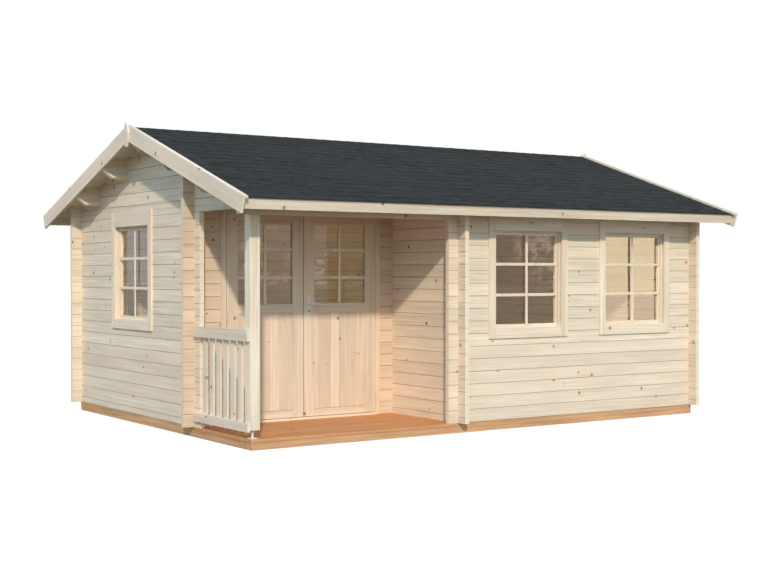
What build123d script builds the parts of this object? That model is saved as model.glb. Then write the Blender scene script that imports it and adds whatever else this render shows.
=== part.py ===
# Log cabin with a corner porch, double door and three windows.
# Origin: middle of the footprint at ground level.
# X runs along the ridge, the front faces -Y, Z is up.
from build123d import *
import math
import os

# Driving dimensions in millimetres
# Log walls
log_thickness = 44
course = 114
log_end = 105
wall_length = 5090
wall_depth = 3790
eave_height = 2026
groove_width = 6
groove_depth = 4
# Porch
porch_length = 2094
porch_depth = 1048
plain_courses = 2
# Roof
roof_fall = 1 / 3
eave_overhang = 320
verge_overhang = 265
roof_board = 18
roof_cover = 6
cover_lip = 10
fascia_width = 90
fascia_thickness = 19
barge_width = 120
barge_thickness = 20
barge_past_fascia = 42
batten_width = 45
batten_thickness = 20
finial_width = 116
finial_height = 222
finial_above = 21
finial_thickness = 18
finial_top_width = 16
finial_foot_width = 38
finial_shoulder = 100
ridge_purlin_depth = 190
purlin_thickness = 44
purlin_depth = 181
purlin_spacing = 726
purlin_tip = 100
mitre_gap = 1
# Ground frame and floors
foundation_height = 90
foundation_width = 70
foundation_inset = 5
joist_width = 45
joist_spacing = 560
floor_thickness = 19
floor_gap = 5
deck_thickness = 26
deck_board = 112
deck_gap = 6
# Porch post, foot and railing
post_size = 90
post_setback = 16
post_clearance = 72
foot_plate = 60
foot_plate_thickness = 6
foot_rod = 20
foot_nut = 32
foot_nut_height = 16
rail_top = 884
rail_width = 90
rail_thickness = 28
rail_over_log_ends = 70
low_rail_bottom = 58
low_rail_width = 74
baluster_width = 70
baluster_thickness = 20
baluster_count = 6
baluster_below_top = 11
# Windows
window_clear_width = 800
window_clear_height = 898
window_head_below_plate = 85
casing_width = 75
casing_thickness = 18
casing_bottom = 93
casing_head = 146
frame_rail = 15
sash_joint = 6
sash_joint_depth = 22
sash_rail = 19
sash_recess = 12
window_foot_rail = 33
sash_overlap = 10
sash_setback = 20
sash_thickness = 42
pane_setback = 30
pane_thickness = 4
pane_bite = 8
left_window_share = 0.274
right_window_share = 0.7286
gable_window_from_back = 1376
# Double door
door_from_side_wall = 999
leaf_width = 782
leaf_height = 1880
leaf_thickness = 40
stile_width = 112
top_rail = 102
middle_rail = 86
bottom_rail = 67
door_glass_height = 738
panel_thickness = 22
panel_boards = 6
door_gap = 5
meeting_gap = 8
jamb_width = 38
jamb_cover = 12
jamb_proud = 15
stop_width = 12
threshold_height = 20
threshold_proud = 30
# Hinges and handle
hinge_radius = 7
hinge_length = 106
hinge_offset = 7
hinge_pin_radius = 4
hinge_pin_share = 0.75
pin_clearance = 0.1
hinge_flap = 30
hinge_flap_thickness = 2
lowest_hinge = 170
middle_hinge = 960
highest_hinge = 1750
plate_width = 38
plate_height = 222
plate_thickness = 4
plate_taper = 70
plate_tip_radius = 8
handle_height = 1030
handle_from_edge = 52
lever_length = 120
lever_thickness = 12
lever_root = 20
lever_end = 11
lever_droop = 9
lever_chamfer = 3
lever_reach = 45
spindle_radius = 6
spindle_clearance = 1
lever_above_centre = 38

# Places worked out from the driving dimensions
left = -wall_length / 2
right = wall_length / 2
front = -wall_depth / 2
back = wall_depth / 2
base = foundation_height
porch_x = left + porch_length
recess_y = front + porch_depth
pitch = math.atan(roof_fall)
ridge_z = base + eave_height + back * roof_fall
fascia_face = (back + eave_overhang) / math.cos(pitch)
barge_end = fascia_face + barge_past_fascia
board_edge = verge_overhang - barge_thickness
plate_count = math.floor(eave_height / course) - 1
plate_z = base + plate_count * course
gable_top_z = plate_z + course / 2
window_sill_z = plate_z - window_head_below_plate - window_clear_height
gable_window_y = back - gable_window_from_back
wall_courses = math.ceil((ridge_z - base) / course) + 1
cover_top = roof_board + roof_cover
leaf_front = recess_y - jamb_proud
leaf_bottom = base + threshold_height + door_gap
leaf_top = leaf_bottom + leaf_height
clear_width = 2 * leaf_width + 2 * door_gap + meeting_gap
door_x = porch_x - door_from_side_wall


def block(x, y, z):
    """A box between two values on each axis."""
    size = [pair[1] - pair[0] for pair in (x, y, z)]
    middle = [(pair[0] + pair[1]) / 2 for pair in (x, y, z)]
    return Pos(*middle) * Box(*size)


def prism(points, direction):
    """A polygon of 3D points pushed along a direction."""
    face = make_face(Polyline(*points, close=True))
    return extrude(face, amount=Vector(*direction).length, dir=direction)


def roof_point(side, along, above):
    """A point of one slope: side -1 is the front, along is down the slope, above is square to it."""
    y = side * (along * math.cos(pitch) + above * math.sin(pitch))
    return y, ridge_z - along * math.sin(pitch) + above * math.cos(pitch)


def from_ridge(above, gap):
    """Distance down the slope at which a plumb joint cuts a layer at the ridge."""
    return (gap - above * math.sin(pitch)) / math.cos(pitch)


def slope_piece(side, end, above, x, gap=0.0):
    """A layer of one slope from the ridge to its end, between two heights above the purlins."""
    low, high = above
    corners = [(from_ridge(low, gap), low), (end, low), (end, high), (from_ridge(high, gap), high)]
    points = [(x[0], *roof_point(side, along, height)) for along, height in corners]
    return prism(points, (x[1] - x[0], 0, 0))


def under_roof():
    """The space below the roof boards."""
    reach = wall_depth
    edge = ridge_z - reach * roof_fall
    points = [(-wall_length, -reach, 0), (-wall_length, reach, 0), (-wall_length, reach, edge)]
    points += [(-wall_length, 0, ridge_z), (-wall_length, -reach, edge)]
    return prism(points, (2 * wall_length, 0, 0))


def log_profile(z, joints):
    """Outline of stacked logs as (across, height) pairs, with a V groove at each joint outside."""
    half = groove_width / 2
    inside = [joint for joint in joints if z[0] + half < joint < z[1] - half]
    face = [(0, z[0])]
    for joint in inside:
        face += [(0, joint - half), (groove_depth, joint), (0, joint + half)]
    return face + [(0, z[1]), (log_thickness, z[1]), (log_thickness, z[0])]


def wall_along_x(x, y, z, joints, outward=-1):
    """Logs along X from the face at y. Outward is 1 where the outer face is the back one."""
    middle = y + log_thickness / 2
    points = []
    for across, height in log_profile(z, joints):
        points.append((x[0], middle - outward * (across - log_thickness / 2), height))
    return prism(points, (x[1] - x[0], 0, 0))


def wall_along_y(x, y, z, joints, outward=-1):
    """Logs along Y from the face at x. Outward is 1 where the outer face is the right one."""
    middle = x + log_thickness / 2
    points = []
    for across, height in log_profile(z, joints):
        points.append((middle - outward * (across - log_thickness / 2), y[0], height))
    return prism(points, (0, y[1] - y[0], 0))


def whole_joints(last):
    """Joints of the walls along X, which start with a whole log."""
    return [base + k * course for k in range(1, last + 1)]


def half_joints():
    """Joints of the walls along Y, which start with half a log."""
    return [base + (k + 0.5) * course for k in range(wall_courses)]


def crossing(x, y, middles):
    """The half-lap cores of one set of logs where two walls cross."""
    cores = []
    for middle in middles:
        z = (max(base, middle - course / 4), middle + course / 4)
        cores.append(block((x, x + log_thickness), (y, y + log_thickness), z))
    return cores


def cores_of_y_logs(x, y, lowest=0):
    """What a wall along Y keeps at a crossing, and a wall along X gives up."""
    return crossing(x, y, [base + k * course for k in range(lowest, wall_courses)])


def cores_of_x_logs(x, y):
    """What a wall along X keeps at a crossing, and a wall along Y gives up."""
    return crossing(x, y, [base + (k + 0.5) * course for k in range(wall_courses)])


roof_space = under_roof()
right_inner = right - log_thickness
back_inner = back - log_thickness


def purlin_profile(depth):
    """Outline of a purlin as (along X, down) pairs: cut at 45 degrees under both ends."""
    end = right + board_edge
    full = end - (depth - purlin_tip)
    half = [(end, 0), (end, -purlin_tip), (full, -depth)]
    return half + [(-x, down) for x, down in reversed(half)]


def side_purlin(side, along):
    """A purlin square to one slope, whose middle is at a distance down from the ridge."""
    near = along - purlin_thickness / 2
    points = [(x, *roof_point(side, near, above)) for x, above in purlin_profile(purlin_depth)]
    across = (0, side * math.cos(pitch) * purlin_thickness, -math.sin(pitch) * purlin_thickness)
    return prism(points, across)


def upright_purlin():
    """The purlin under the ridge, with its top cut to both slopes."""
    profile = purlin_profile(ridge_purlin_depth)
    points = [(x, -purlin_thickness / 2, ridge_z + down) for x, down in profile]
    return prism(points, (0, purlin_thickness, 0)) & roof_space


ridge_purlin = upright_purlin()
side_purlins = [side_purlin(side, k * purlin_spacing) for side in (-1, 1) for k in (1, 2)]
all_purlins = [ridge_purlin] + side_purlins


def front_window_centres():
    """Middles of the two front windows, at their shares of the wall from the porch."""
    length = right - porch_x
    return [porch_x + left_window_share * length, porch_x + right_window_share * length]


def front_window_holes():
    """The holes of both front windows."""
    return [window_hole_x(centre) for centre in front_window_centres()]


def front_wall():
    """The wall with two windows, up to the plate."""
    joints = whole_joints(plate_count - plain_courses)
    wall = wall_along_x((porch_x - log_end, right + log_end), front, (base, plate_z), joints)
    wall -= cores_of_y_logs(porch_x, front) + cores_of_y_logs(right_inner, front)
    return wall - front_window_holes()


def front_plate():
    """The top log of the front, which also spans the porch to the corner post."""
    x = (left - log_end, right + log_end)
    plate = wall_along_x(x, front, (plate_z, ridge_z), []) & roof_space
    plate -= cores_of_y_logs(left, front, plate_count + 1) + front_window_holes()
    return plate - (cores_of_y_logs(porch_x, front) + cores_of_y_logs(right_inner, front))


def back_wall():
    """The closed wall at the back."""
    x = (left - log_end, right + log_end)
    joints = whole_joints(plate_count)
    wall = wall_along_x(x, back_inner, (base, ridge_z), joints, outward=1) & roof_space
    return wall - (cores_of_y_logs(left, back_inner) + cores_of_y_logs(right_inner, back_inner))


def right_gable():
    """The closed gable wall on the right."""
    y = (front - log_end, back + log_end)
    wall = wall_along_y(right_inner, y, (base, ridge_z), half_joints(), outward=1) & roof_space
    wall -= cores_of_x_logs(right_inner, front) + cores_of_x_logs(right_inner, back_inner)
    return wall - all_purlins


def left_gable():
    """The lower part of the left gable wall, from the back to the porch."""
    y = (recess_y - log_end, back + log_end)
    wall = wall_along_y(left, y, (base, gable_top_z), half_joints())
    wall -= cores_of_x_logs(left, recess_y) + cores_of_x_logs(left, back_inner)
    return wall - window_hole_y()


def left_gable_top():
    """The upper part of the left gable wall, which runs on over the porch to the corner post."""
    y = (front, back + log_end)
    wall = wall_along_y(left, y, (gable_top_z, ridge_z), half_joints()) & roof_space
    wall -= cores_of_x_logs(left, front) + cores_of_x_logs(left, recess_y) + [window_hole_y()]
    return wall - (cores_of_x_logs(left, back_inner) + all_purlins)


def porch_side_wall():
    """The wall between the porch and the front room."""
    y = (front - log_end, recess_y + log_thickness + log_end)
    wall = wall_along_y(porch_x, y, (base, ridge_z), half_joints()) & roof_space
    return wall - (cores_of_x_logs(porch_x, front) + cores_of_x_logs(porch_x, recess_y) + all_purlins)


def recess_wall():
    """The wall behind the porch in three pieces: left of the door, right of it and over it."""
    x = (left - log_end, porch_x + log_thickness + log_end)
    wall = wall_along_x(x, recess_y, (base, ridge_z), whole_joints(wall_courses)) & roof_space
    wall -= cores_of_y_logs(left, recess_y) + cores_of_y_logs(porch_x, recess_y)
    half = clear_width / 2 + jamb_width
    y = (recess_y - log_thickness, recess_y + 2 * log_thickness)
    head = leaf_top + door_gap + jamb_width
    beside_left = wall & block((x[0], door_x - half), y, (base, ridge_z))
    beside_right = wall & block((door_x + half, x[1]), y, (base, ridge_z))
    over = wall & block((door_x - half, door_x + half), y, (head, ridge_z))
    return beside_left, beside_right, over


frame_x = (left + foundation_inset, right - foundation_inset)
frame_y = (front + foundation_inset, back - foundation_inset)
recess_beam_y = (recess_y + foundation_inset, recess_y + foundation_inset + foundation_width)


def deck_space():
    """What the deck boards take from the ground frame."""
    return block((left, porch_x), (front, recess_y), (base - deck_thickness, base))


def foundation():
    """The beams of treated timber along X: front, back and under the wall behind the porch."""
    front_y = (frame_y[0], frame_y[0] + foundation_width)
    back_y = (frame_y[1] - foundation_width, frame_y[1])
    front_beam = block(frame_x, front_y, (0, base)) - deck_space()
    recess_x = (frame_x[0] + foundation_width, porch_x + foundation_inset)
    return [front_beam, block(frame_x, back_y, (0, base)), block(recess_x, recess_beam_y, (0, base))]


def joist_places():
    """x ranges of what lies across the beams: the ends, the joists, the porch side wall's beam."""
    count = math.floor((frame_x[1] - frame_x[0]) / joist_spacing)
    spacing = (frame_x[1] - frame_x[0] - foundation_width) / count
    side_beam = (porch_x + foundation_inset, porch_x + foundation_inset + foundation_width)
    places = [(frame_x[0], frame_x[0] + foundation_width), side_beam]
    places.append((frame_x[1] - foundation_width, frame_x[1]))
    for k in range(1, count):
        middle = frame_x[0] + foundation_width / 2 + k * spacing
        near = (middle - joist_width / 2, middle + joist_width / 2)
        if near[1] < side_beam[0] - joist_width or near[0] > side_beam[1] + joist_width:
            places.append(near)
    return places


def joists():
    """The timbers along Y. Those behind the porch are in two lengths, except at the gable."""
    y = (frame_y[0] + foundation_width, frame_y[1] - foundation_width)
    pieces = []
    for x in joist_places():
        lengths = [y]
        if frame_x[0] < x[0] < porch_x:
            lengths = [(y[0], recess_beam_y[0]), (recess_beam_y[1], y[1])]
        for length in lengths:
            pieces.append(block(x, length, (0, base)) - deck_space())
    return pieces


def floor():
    """The floor of the room, clear of the log ends that stand in it."""
    z = (base, base + floor_thickness)
    inner = log_thickness + floor_gap
    room = block((left + inner, right - inner), (recess_y + inner, back - inner), z)
    bay = block((porch_x + inner, right - inner), (front + inner, recess_y + inner), z)
    ends_x = (porch_x - floor_gap, porch_x + log_thickness + log_end + floor_gap)
    ends_y = (recess_y - floor_gap, recess_y + inner)
    stub_x = (porch_x - floor_gap, porch_x + inner)
    stub_y = (recess_y, recess_y + log_thickness + log_end + floor_gap)
    return room + bay - [block(ends_x, ends_y, z), block(stub_x, stub_y, z)]


def porch_deck():
    """Deck boards along X, evenly spread over the depth of the porch."""
    count = round((porch_depth + deck_gap) / (deck_board + deck_gap))
    width = (porch_depth - (count - 1) * deck_gap) / count
    boards = []
    for k in range(count):
        y = front + k * (width + deck_gap)
        boards.append(block((left, porch_x), (y, y + width), (base - deck_thickness, base)))
    return Compound(children=boards)


post_x = (left, left + post_size)
post_y = (front + post_setback, front + post_setback + post_size)
post_bottom = base + post_clearance


def corner_post():
    """The post under the corner of the roof."""
    return block(post_x, post_y, (post_bottom, plate_z))


def post_foot():
    """The adjustable foot: base plate, rod, nut and head plate."""
    at = Pos(sum(post_x) / 2, sum(post_y) / 2, 0)
    up = (Align.CENTER, Align.CENTER, Align.MIN)
    foot = at * Pos(0, 0, base) * Box(foot_plate, foot_plate, foot_plate_thickness, align=up)
    foot += at * Pos(0, 0, base) * Cylinder(foot_rod / 2, post_clearance, align=up)
    nut = extrude(RegularPolygon(foot_nut / 2, 6), amount=foot_nut_height)
    foot += at * Pos(0, 0, post_bottom - foot_plate_thickness - foot_nut_height) * nut
    head_plate = Box(foot_plate, foot_plate, foot_plate_thickness, align=up)
    return foot + at * Pos(0, 0, post_bottom - foot_plate_thickness) * head_plate


def railing():
    """Two rails on the outside of the post and the log ends, with boards behind them."""
    rail_y = (post_y[0], recess_y - log_end + rail_over_log_ends)
    rail_x = (left - rail_thickness, left)
    top = base + rail_top
    fence = block(rail_x, rail_y, (top - rail_width, top))
    fence += block(rail_x, rail_y, (base + low_rail_bottom, base + low_rail_bottom + low_rail_width))
    first = post_y[1]
    last = recess_y - log_end
    space = (last - first - baluster_count * baluster_width) / (baluster_count + 1)
    for k in range(baluster_count):
        y = first + space + k * (baluster_width + space)
        z = (base + low_rail_bottom, top - baluster_below_top)
        fence += block((left, left + baluster_thickness), (y, y + baluster_width), z)
    return fence


def fascia(side):
    """The board along one eave, square to the slope."""
    x = (left - board_edge, right + board_edge)
    inner = fascia_face - fascia_thickness
    low = roof_board - fascia_width
    corners = [(inner, low), (fascia_face, low), (fascia_face, roof_board), (inner, roof_board)]
    return prism([(x[0], *roof_point(side, *corner)) for corner in corners], (x[1] - x[0], 0, 0))


def verge(gable):
    """x range of the barge boards of one gable: -1 is the left, 1 the right."""
    outer = gable * (right + verge_overhang)
    return sorted((outer, outer - gable * barge_thickness))


def barge_boards(gable):
    """The two boards that close the roof's edge at one gable, flush with the covering."""
    above = (cover_top - barge_width, cover_top)
    return [slope_piece(side, barge_end, above, verge(gable), mitre_gap / 2) for side in (-1, 1)]


def verge_battens(gable):
    """The two battens over the joint of the barge boards and the roof covering of one gable."""
    outer = gable * (right + verge_overhang)
    x = sorted((outer, outer - gable * batten_width))
    above = (cover_top, cover_top + batten_thickness)
    return [slope_piece(side, barge_end, above, x, mitre_gap / 2) for side in (-1, 1)]


def finial(gable):
    """The pointed board over the joint of the barge boards."""
    top = ridge_z + (cover_top + batten_thickness) / math.cos(pitch) + finial_above
    x = gable * (right + verge_overhang)
    outline = [(finial_top_width / 2, top), (finial_width / 2, top - finial_shoulder)]
    outline.append((finial_foot_width / 2, top - finial_height))
    outline += [(-y, z) for y, z in reversed(outline)]
    return prism([(x, y, z) for y, z in outline], (gable * finial_thickness, 0, 0))


def window_hole(centre, sill):
    """Ranges along the wall and in height of the hole for one window."""
    half = window_clear_width / 2 + sash_overlap
    low = sill - sash_overlap
    return (centre - half, centre + half), (low, low + window_clear_height + 2 * sash_overlap)


def window_hole_x(centre):
    """The hole in the front wall."""
    x, z = window_hole(centre, window_sill_z)
    return block(x, (front - log_thickness, front + 2 * log_thickness), z)


def window_casing():
    """The boards around one window: centred on X, the wall's face at y 0, the sill at z 0."""
    half = window_clear_width / 2
    outer = half + casing_width
    z = (-casing_bottom, window_clear_height + casing_head)
    boards = block((-outer, outer), (-casing_thickness, 0), z)
    return boards - block((-half, half), (-casing_thickness, 0), (0, window_clear_height))


def window_sash():
    """Frame and sash of one window, with the narrow joint between them, and the pane."""
    half = window_clear_width / 2
    high = window_clear_height
    edge = half + sash_overlap
    y = (sash_setback, sash_setback + sash_thickness)
    sash = block((-edge, edge), y, (-sash_overlap, high + sash_overlap))
    inner = half - frame_rail
    joint_y = (sash_setback, sash_setback + sash_joint_depth)
    joint = block((-inner, inner), joint_y, (0, high - frame_rail))
    narrow = inner - sash_joint
    sash_z = (0, high - frame_rail - sash_joint)
    joint -= block((-narrow, narrow), joint_y, sash_z)
    recess = block((-narrow, narrow), (sash_setback, sash_setback + sash_recess), sash_z)
    light = narrow - sash_rail
    light_z = (window_foot_rail, high - frame_rail - sash_joint - sash_rail)
    pane_y = (sash_setback + pane_setback, sash_setback + pane_setback + pane_thickness)
    pane_z = (light_z[0] - pane_bite, light_z[1] + pane_bite)
    pane = block((-light - pane_bite, light + pane_bite), pane_y, pane_z)
    return sash - joint - recess - block((-light, light), y, light_z) - pane, pane


window_places = {
    "front_left": Pos(front_window_centres()[0], front, window_sill_z),
    "front_right": Pos(front_window_centres()[1], front, window_sill_z),
    "gable": Pos(left, gable_window_y, window_sill_z + course / 2) * Rot(0, 0, -90),
}


def window_hole_y():
    """The hole in the left gable wall, half a course higher than in the front wall."""
    y, z = window_hole(gable_window_y, window_sill_z + course / 2)
    return block((left - log_thickness, left + 2 * log_thickness), y, z)


def door_frame():
    """Jambs and head around both leaves, with a cover on the logs and a stop behind the leaves."""
    half = clear_width / 2
    top = leaf_top + door_gap
    inside = recess_y + log_thickness
    cut = block((door_x - half, door_x + half), (leaf_front, inside), (0, top))
    wide = half + jamb_width
    frame_z = (base, top + jamb_width)
    frame = block((door_x - wide, door_x + wide), (leaf_front, inside), frame_z) - cut
    cover = wide + jamb_cover
    cover_z = (base, top + jamb_width + jamb_cover)
    face = block((door_x - cover, door_x + cover), (leaf_front, recess_y), cover_z) - cut
    stop_y = (leaf_front + leaf_thickness + door_gap, inside)
    stop = block((door_x - half, door_x + half), stop_y, (base + threshold_height, top))
    narrow = half - stop_width
    stop -= block((door_x - narrow, door_x + narrow), stop_y, (0, top - stop_width))
    return frame + face + stop


def threshold():
    """The board under both leaves."""
    half = clear_width / 2
    y = (leaf_front - threshold_proud + jamb_proud, recess_y + log_thickness)
    return block((door_x - half, door_x + half), y, (base, base + threshold_height))


def leaf_pieces(side):
    """One door leaf and its pane: side -1 hinges on the left, 1 on the right."""
    meeting = door_x + side * meeting_gap / 2
    x = sorted((meeting, meeting + side * leaf_width))
    y = (leaf_front, leaf_front + leaf_thickness)
    leaf = block(x, y, (leaf_bottom, leaf_top))
    inner_x = (x[0] + stile_width, x[1] - stile_width)
    glass_top = leaf_top - top_rail
    glass_z = (glass_top - door_glass_height, glass_top)
    leaf -= block(inner_x, y, glass_z)
    panel_z = (leaf_bottom + bottom_rail, glass_z[0] - middle_rail)
    leaf -= block(inner_x, y, panel_z)
    leaf += door_panel(inner_x, (y[0] + y[1]) / 2, panel_z)
    pane_y = ((y[0] + y[1] - pane_thickness) / 2, (y[0] + y[1] + pane_thickness) / 2)
    pane_x = (inner_x[0] - pane_bite, inner_x[1] + pane_bite)
    pane = block(pane_x, pane_y, (glass_z[0] - pane_bite, glass_z[1] + pane_bite))
    leaf -= pane
    if side > 0:
        leaf -= spindle_hole()
    return leaf, pane


def door_panel(x, y, z):
    """Upright boards of the lower panel with a V groove at each joint on both faces."""
    half = panel_thickness / 2
    width = (x[1] - x[0]) / panel_boards
    face = [(x[0], -half)]
    for k in range(1, panel_boards):
        at = x[0] + k * width
        face += [(at - groove_width / 2, -half), (at, groove_depth - half)]
        face.append((at + groove_width / 2, -half))
    face.append((x[1], -half))
    outline = face + [(across, -off) for across, off in reversed(face)]
    return prism([(across, y + off, z[0]) for across, off in outline], (0, 0, z[1] - z[0]))


handle_x = door_x + meeting_gap / 2 + handle_from_edge
handle_z = base + handle_height
spindle_z = handle_z + lever_above_centre
leaf_back = leaf_front + leaf_thickness


def along_y(radius, y):
    """A round bar along Y at the spindle."""
    return Pos(handle_x, (y[0] + y[1]) / 2, spindle_z) * Rot(90, 0, 0) * Cylinder(radius, y[1] - y[0])


def spindle_hole():
    """The hole through the leaf and the plates for the spindle."""
    reach = (leaf_front - 2 * plate_thickness, leaf_back + 2 * plate_thickness)
    return along_y(spindle_radius + spindle_clearance, reach)


def handle_plate(y):
    """A long plate with a tapered lower end and a round tip, from y towards the back."""
    half = plate_width / 2
    top = handle_z + plate_height / 2
    tip = handle_z - plate_height / 2
    shoulder = tip + plate_taper
    round_z = tip + plate_tip_radius
    corners = [(-plate_tip_radius, round_z), (-half, shoulder), (-half, top)]
    corners += [(-across, z) for across, z in reversed(corners)]
    sides = Polyline(*[(handle_x + across, y, z) for across, z in corners])
    ends = [(handle_x + across, y, z) for across, z in (corners[-1], (0, tip), corners[0])]
    face = make_face(sides.edges() + [ThreePointArc(*ends)])
    return extrude(face, amount=plate_thickness, dir=(0, 1, 0)) - spindle_hole()


def lever_grip(y):
    """A tapered grip that droops a little to its round end, centred on y."""
    root = lever_root / 2
    end = lever_end / 2
    stations = [(0, 0, root), (lever_length / 2, -lever_droop / 4, (root + end) / 2)]
    stations.append((lever_length - end, -lever_droop, end))
    rounds = [(Pos(across, z) * Circle(radius)).edge() for across, z, radius in stations]
    flat = extrude(make_hull(rounds), amount=lever_thickness / 2, both=True)
    faces = flat.faces().sort_by(Axis.Z)
    grip = chamfer(faces[0].edges() + faces[-1].edges(), lever_chamfer)
    return Pos(handle_x, y, spindle_z) * Rot(90, 0, 0) * grip


def door_lever():
    """Both lever handles on one spindle."""
    reach = (leaf_front - plate_thickness - lever_reach, leaf_back + plate_thickness + lever_reach)
    return along_y(spindle_radius, reach) + [lever_grip(y) for y in reach]


def hinge_axis(side):
    """Place of a leaf's hinge pins in plan."""
    return door_x + side * (clear_width / 2 - door_gap / 2), leaf_front - hinge_offset


def hinge_half(side, towards):
    """Knuckle and flap of one half of a hinge, the flap in the gap beside the leaf."""
    x, y = hinge_axis(side)
    face = x + towards * door_gap / 2
    inner = face - towards * hinge_flap_thickness
    flap = block(sorted((face, inner)), (y, leaf_front + hinge_flap), (0, hinge_length / 2))
    return upright(hinge_radius, hinge_length / 2, (x, y, 0)) + flap


def upright(radius, height, foot):
    """A round bar that stands on its foot point."""
    return Pos(*foot) * Cylinder(radius, height, align=(Align.CENTER, Align.CENTER, Align.MIN))


def hinge_halves(side):
    """The upper halves on a leaf, and the lower halves with their pins on the frame."""
    x, y = hinge_axis(side)
    half = hinge_length / 2
    pin_height = half * hinge_pin_share
    bore = upright(hinge_pin_radius + pin_clearance, pin_height, (x, y, 0))
    pin = upright(hinge_pin_radius, pin_height - pin_clearance, (x, y, half))
    upper = hinge_half(side, -side) - bore
    lower = hinge_half(side, side) + pin
    heights = [base + height for height in (lowest_hinge, middle_hinge, highest_hinge)]
    on_leaf = [Pos(0, 0, height + pin_clearance) * upper for height in heights]
    on_frame = [Pos(0, 0, height - half) * lower for height in heights]
    return on_leaf, on_frame


def group(pieces):
    """Like pieces that share one node."""
    return Compound(children=list(pieces))


def all_parts():
    """Every named sub-part."""
    board_x = (left - board_edge, right + board_edge)
    beside_left, beside_right, over = recess_wall()
    parts = {
        "foundation_frame": group(foundation()),
        "floor_joists": group(joists()),
        "floor": floor(),
        "porch_deck": porch_deck(),
        "front_wall": front_wall(),
        "front_wall_plate": front_plate(),
        "back_wall": back_wall(),
        "right_gable_wall": right_gable(),
        "left_gable_wall": left_gable(),
        "left_gable_top": left_gable_top(),
        "porch_side_wall": porch_side_wall(),
        "recess_wall_left": beside_left,
        "recess_wall_right": beside_right,
        "recess_wall_over_door": over,
        "corner_post": corner_post(),
        "post_foot": post_foot(),
        "railing": railing(),
        "ridge_purlin": ridge_purlin,
        "side_purlins": group(side_purlins),
        "door_frame": door_frame(),
        "threshold": threshold(),
        "handle_plates": group(handle_plate(y) for y in (leaf_front - plate_thickness, leaf_back)),
        "door_lever": door_lever(),
        "finials": group(finial(gable) for gable in (-1, 1)),
    }
    for name, side in (("front", -1), ("back", 1)):
        end = fascia_face - fascia_thickness
        parts["roof_boards_" + name] = slope_piece(side, end, (0, roof_board), board_x)
        lip = fascia_face + cover_lip
        parts["roof_cover_" + name] = slope_piece(side, lip, (roof_board, cover_top), board_x)
        parts["fascia_" + name] = fascia(side)
    frame_hinges = []
    for name, side in (("left", -1), ("right", 1)):
        parts["barge_boards_" + name] = group(barge_boards(side))
        parts["verge_battens_" + name] = group(verge_battens(side))
        leaf, pane = leaf_pieces(side)
        on_leaf, on_frame = hinge_halves(side)
        parts["door_leaf_" + name] = leaf
        parts["door_pane_" + name] = pane
        parts["door_hinges_" + name] = group(on_leaf)
        frame_hinges += on_frame
    parts["frame_hinges"] = group(frame_hinges)
    casing = window_casing()
    sash, pane = window_sash()
    for name, place in window_places.items():
        parts["window_casing_" + name] = place * casing
        parts["window_sash_" + name] = place * sash
    parts["window_panes"] = group(place * pane for place in window_places.values())
    return parts


os.makedirs("parts", exist_ok=True)
for name, shape in all_parts().items():
    export_step(shape, "parts/" + name + ".step")
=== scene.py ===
import bmesh
import bpy
import math
import random
from mathutils import Matrix, Vector

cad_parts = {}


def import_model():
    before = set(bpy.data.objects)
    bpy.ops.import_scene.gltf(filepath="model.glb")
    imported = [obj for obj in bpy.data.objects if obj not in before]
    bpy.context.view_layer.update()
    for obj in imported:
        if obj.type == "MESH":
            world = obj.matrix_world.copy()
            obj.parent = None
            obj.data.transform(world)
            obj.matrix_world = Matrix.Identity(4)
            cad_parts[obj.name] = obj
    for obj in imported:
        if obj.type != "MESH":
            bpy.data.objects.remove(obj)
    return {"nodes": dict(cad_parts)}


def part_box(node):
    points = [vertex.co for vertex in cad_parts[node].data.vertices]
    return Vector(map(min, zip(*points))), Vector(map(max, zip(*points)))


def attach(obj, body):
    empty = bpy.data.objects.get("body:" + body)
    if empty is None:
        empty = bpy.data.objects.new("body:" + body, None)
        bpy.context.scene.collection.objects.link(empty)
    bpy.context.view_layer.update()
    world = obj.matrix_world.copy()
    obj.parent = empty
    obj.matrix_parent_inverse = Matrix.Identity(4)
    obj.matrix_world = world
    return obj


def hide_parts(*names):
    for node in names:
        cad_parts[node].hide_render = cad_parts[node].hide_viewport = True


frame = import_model()
scene = bpy.context.scene
nodes = frame["nodes"]
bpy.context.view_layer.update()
print("frame loaded,", len(nodes), "nodes")


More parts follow.
